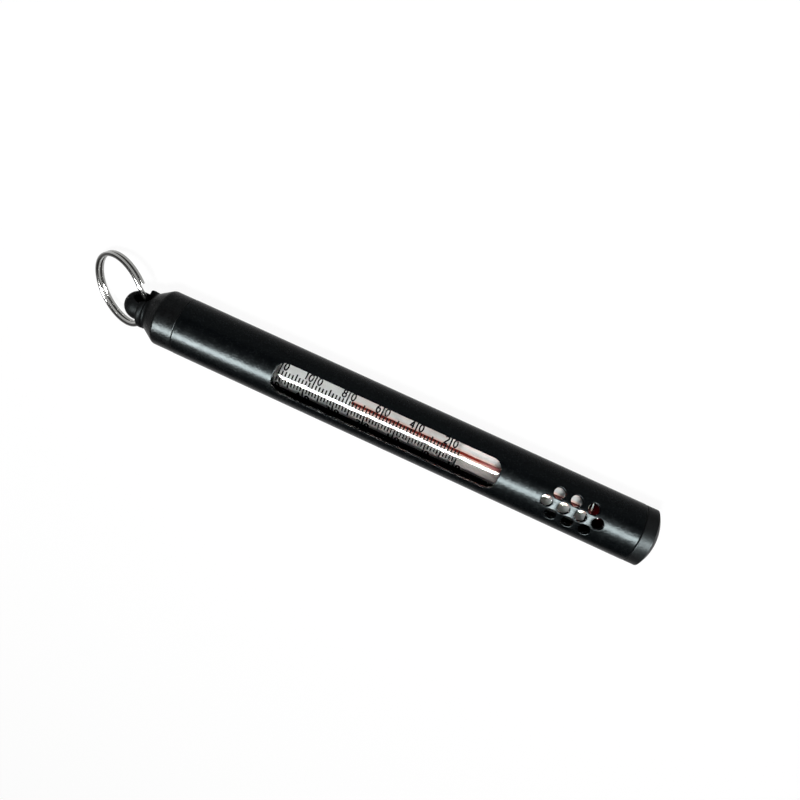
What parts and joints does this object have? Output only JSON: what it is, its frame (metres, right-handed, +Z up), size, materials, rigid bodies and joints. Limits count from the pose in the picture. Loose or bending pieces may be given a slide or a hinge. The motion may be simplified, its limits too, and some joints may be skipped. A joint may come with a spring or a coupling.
{
  "type": "fishing thermometer",
  "caption": "Pocket spirit thermometer in a slotted, black anodised aluminium tube with water ports at the bulb end, a screw cap and a split ring for a lanyard.",
  "frame": {"origin": "on the barrel's axis, halfway along the barrel", "axes": "+X along the barrel towards the bulb end, +Z up from the table that it lies on, +Y along the eye's bore towards the side that the window leans to"},
  "size_m": [0.1359, 0.0174, 0.0126],
  "materials": {
    "black_anodised": "satin black anodised, fine bead-blasted grain",
    "clear_glass": "clear drawn glass",
    "red_spirit": "dyed spirit, a liquid",
    "white_enamel": "opal white",
    "fired_ink": "fired black ink",
    "black_rubber": "matte",
    "spring_steel": "nickel-plated spring steel, worn bright"
  },
  "bodies": {
    "case": {"case_tube": "black_anodised", "end_cap": "black_anodised", "thermometer_glass": "clear_glass", "red_spirit": "red_spirit", "enamel_strip": "white_enamel", "fahrenheit_marks": "fired_ink", "celsius_marks": "fired_ink", "upper_collar": "black_rubber", "lower_collar": "black_rubber", "top_cushion": "black_rubber", "bulb_cushion": "black_rubber"},
    "seal": {"cap_seal": "black_rubber"},
    "cap": {"top_cap": "black_anodised"},
    "ring": {"split_ring": "spring_steel"}
  },
  "joints": [
    {"name": "cap_lift", "type": "slide", "parent": "case", "child": "seal", "axis": [-1, 0, 0], "range_m": [0, 0.006]},
    {"name": "cap_turn", "type": "hinge", "parent": "seal", "child": "cap", "pos_m": [-0.05285, 0, 0], "axis": [-1, 0, 0], "range_deg": [0, 2160]},
    {"name": "ring_swing", "type": "hinge", "parent": "cap", "child": "ring", "pos_m": [-0.0633, 0, 0], "axis": [0, 1, 0], "range_deg": [-130, 169]}
  ],
  "couplings": [
    {"joint": "cap_lift", "follows": "cap_turn", "m_per_rad": 0.00015915}
  ]
}
